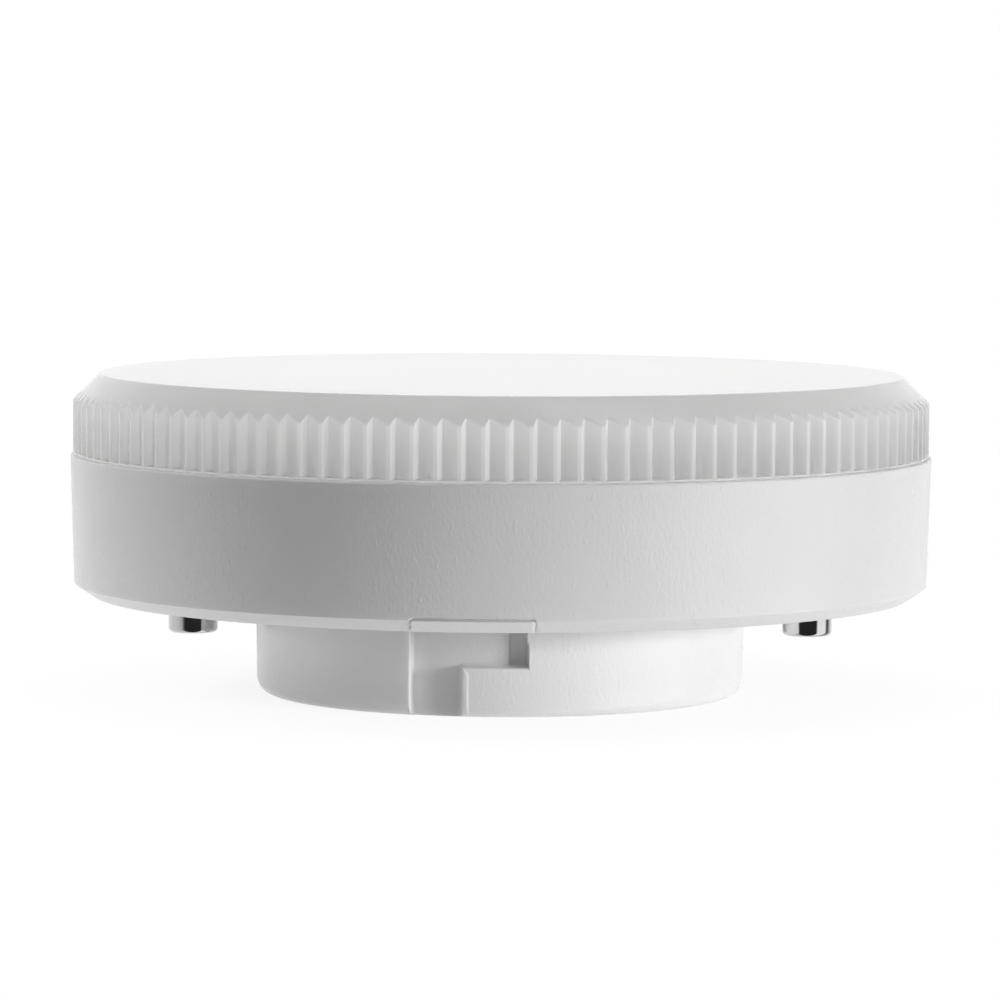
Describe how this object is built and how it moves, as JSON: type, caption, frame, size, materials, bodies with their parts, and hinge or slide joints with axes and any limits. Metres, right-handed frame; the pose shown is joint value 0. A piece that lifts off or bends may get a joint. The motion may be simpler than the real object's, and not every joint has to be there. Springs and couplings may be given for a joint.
{
  "type": "led disc lamp",
  "caption": "Flat round LED lamp: a ribbed milky diffuser on a shallow white housing, with a slotted neck and two contact pins behind for a twist-lock holder.",
  "frame": {"origin": "centre of the neck's end, which is the middle of the underside of the part's box", "axes": "+Z from the neck to the diffuser's flat front, X through the two contact pins, -Y through the front bayonet slot"},
  "size_m": [0.074, 0.074, 0.0275],
  "materials": {
    "housing_plastic": "fine moulded grain",
    "diffuser_milk": "smooth milky polycarbonate",
    "nickel_plate": "bright nickel plate",
    "tinned_brass": "tinned",
    "pressed_aluminium": "bare pressed sheet",
    "board_white": "white solder mask",
    "led_package": "phosphor in a white frame",
    "screw_steel": "zinc plated",
    "board_green": "green solder mask",
    "can_black": "plain sleeve",
    "can_green": "plain sleeve",
    "film_yellow": "moulded case",
    "ferrite": "sintered",
    "copper_wire": "enamelled winding",
    "resistor_body": "lacquered",
    "package_black": "moulded case",
    "mains_sleeve": "silicone sleeve",
    "plus_sleeve": "insulation",
    "minus_sleeve": "insulation"
  },
  "bodies": {
    "root": {"housing": "housing_plastic", "diffuser": "diffuser_milk", "contact_pin_left": "nickel_plate", "contact_pin_right": "nickel_plate", "solder_tag_left": "tinned_brass", "solder_tag_right": "tinned_brass", "heat_spreader": "pressed_aluminium", "led_board": "board_white", "led_01": "led_package", "led_02": "led_package", "led_03": "led_package", "led_04": "led_package", "led_05": "led_package", "led_06": "led_package", "led_07": "led_package", "led_08": "led_package", "led_09": "led_package", "led_10": "led_package", "led_11": "led_package", "led_12": "led_package", "led_13": "led_package", "led_14": "led_package", "board_screw_1": "screw_steel", "board_screw_2": "screw_steel", "board_screw_3": "screw_steel", "driver_board": "board_green", "bulk_capacitor": "can_black", "output_capacitor": "can_green", "film_capacitor": "film_yellow", "inductor_core": "ferrite", "inductor_winding": "copper_wire", "fusible_resistor": "resistor_body", "bridge_rectifier": "package_black", "driver_ic": "package_black", "output_diode": "package_black", "mains_lead_left": "mains_sleeve", "mains_lead_right": "mains_sleeve", "dc_lead_plus": "plus_sleeve", "dc_lead_minus": "minus_sleeve"}
  },
  "joints": []
}
